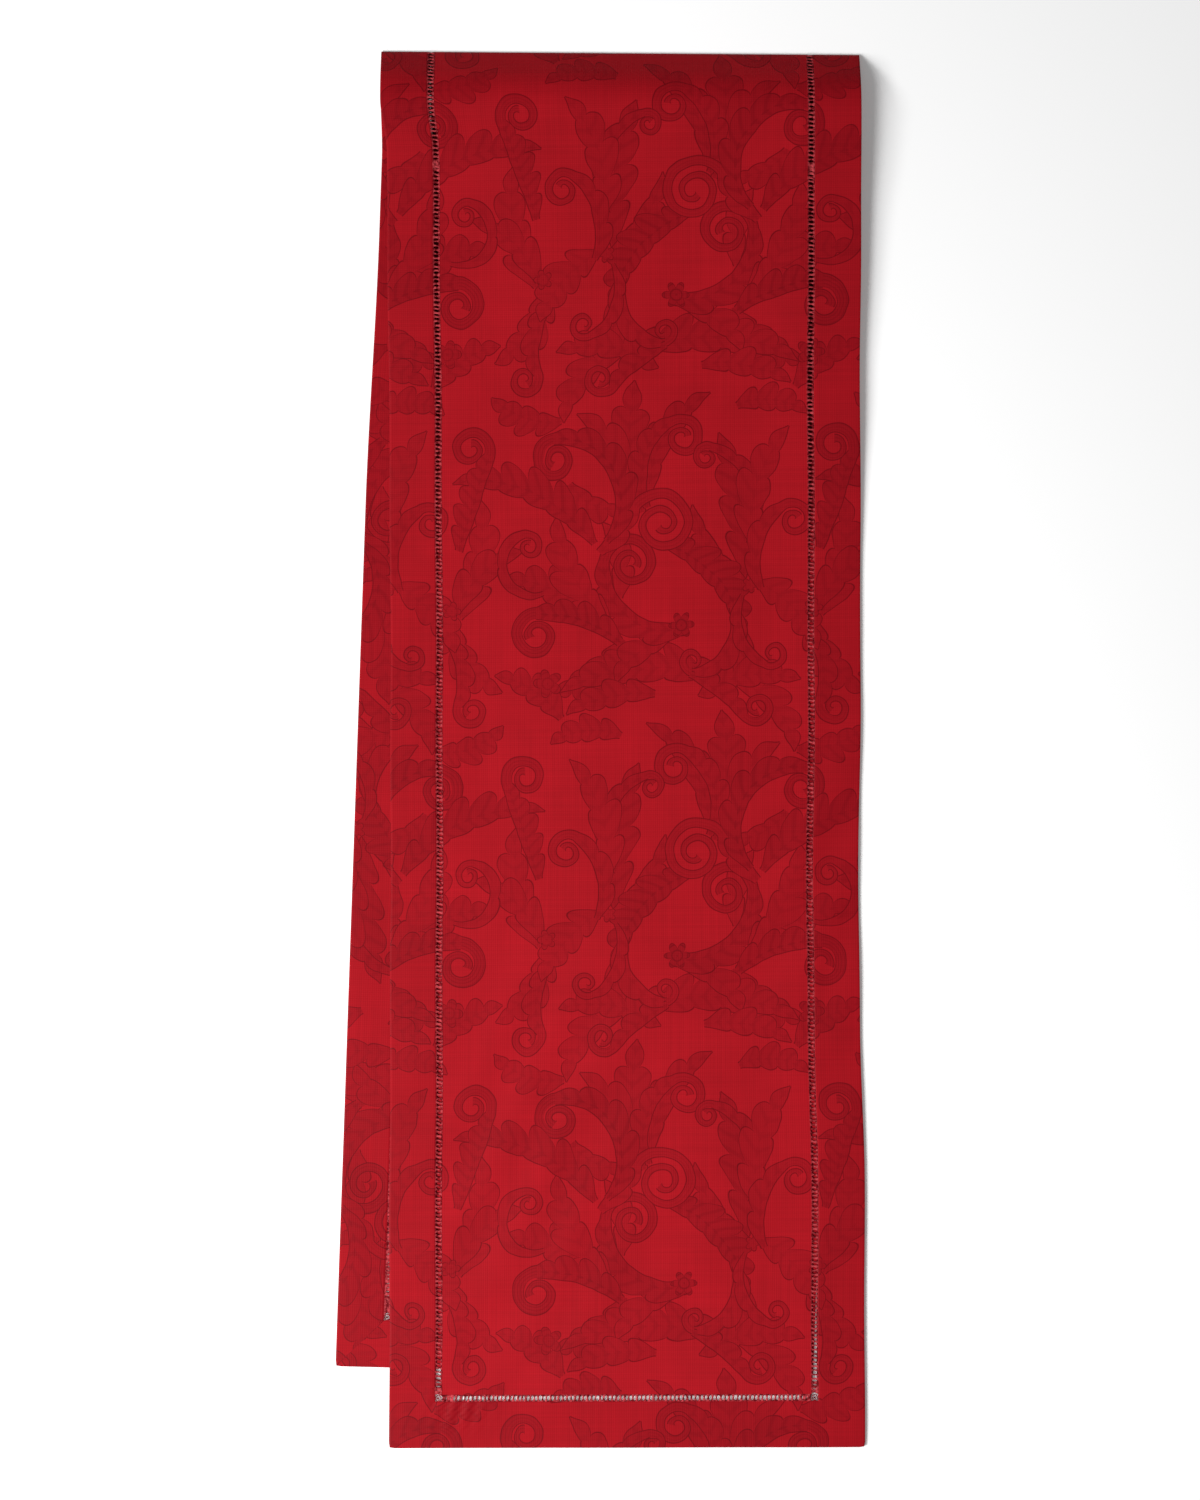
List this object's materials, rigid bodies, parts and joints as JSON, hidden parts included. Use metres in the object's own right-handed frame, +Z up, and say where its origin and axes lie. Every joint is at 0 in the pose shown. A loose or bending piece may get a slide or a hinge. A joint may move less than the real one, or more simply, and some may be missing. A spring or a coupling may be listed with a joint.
{
  "type": "table runner",
  "caption": "Hemstitched damask table runner with mitred hems, folded once across its middle and laid flat; it opens out at the fold.",
  "frame": {"origin": "middle of the footprint, on the surface that the runner lies on", "axes": "+Z up; +Y along the runner towards the fold, the open ends at -Y; +X to the right as seen from above with the fold away"},
  "size_m": [0.4438, 1.1752, 0.0204],
  "materials": {
    "damask": "figured damask weave, satin ground",
    "hem_cloth": "figured damask weave, pressed hem",
    "stitching": "bound threads"
  },
  "bodies": {
    "lower_leaf": {"lower_corner_wheels": "stitching", "lower_end_hem": "hem_cloth", "lower_end_hemstitch": "stitching", "lower_left_hem": "hem_cloth", "lower_left_hemstitch": "stitching", "lower_mitre_seams": "stitching", "lower_panel": "damask", "lower_right_hem": "hem_cloth", "lower_right_hemstitch": "stitching"},
    "swell": {"swell_left_hem": "hem_cloth", "swell_left_hemstitch": "stitching", "swell_panel": "damask", "swell_right_hem": "hem_cloth", "swell_right_hemstitch": "stitching"},
    "slope": {"slope_left_hem": "hem_cloth", "slope_left_hemstitch": "stitching", "slope_panel": "damask", "slope_right_hem": "hem_cloth", "slope_right_hemstitch": "stitching"},
    "upper_leaf": {"upper_corner_wheels": "stitching", "upper_end_hem": "hem_cloth", "upper_end_hemstitch": "stitching", "upper_left_hem": "hem_cloth", "upper_left_hemstitch": "stitching", "upper_mitre_seams": "stitching", "upper_panel": "damask", "upper_right_hem": "hem_cloth", "upper_right_hemstitch": "stitching"}
  },
  "joints": [
    {"name": "crease_opening", "type": "hinge", "parent": "lower_leaf", "child": "swell", "pos_m": [0, 0.58972, 0.0002], "axis": [-1, 0, 0], "range_deg": [0, 148.24]},
    {"name": "swell_turn", "type": "hinge", "parent": "swell", "child": "slope", "pos_m": [0, 0.55741, 0.0202], "axis": [-1, 0, 0], "range_deg": [0, 34.62]},
    {"name": "foot_turn", "type": "hinge", "parent": "slope", "child": "upper_leaf", "pos_m": [0, 0.18787, 0.0017], "axis": [1, 0, 0], "range_deg": [0, 2.87]}
  ],
  "couplings": [
    {"joint": "swell_turn", "follows": "crease_opening", "ratio": 0.23355},
    {"joint": "foot_turn", "follows": "crease_opening", "ratio": 0.019333}
  ]
}
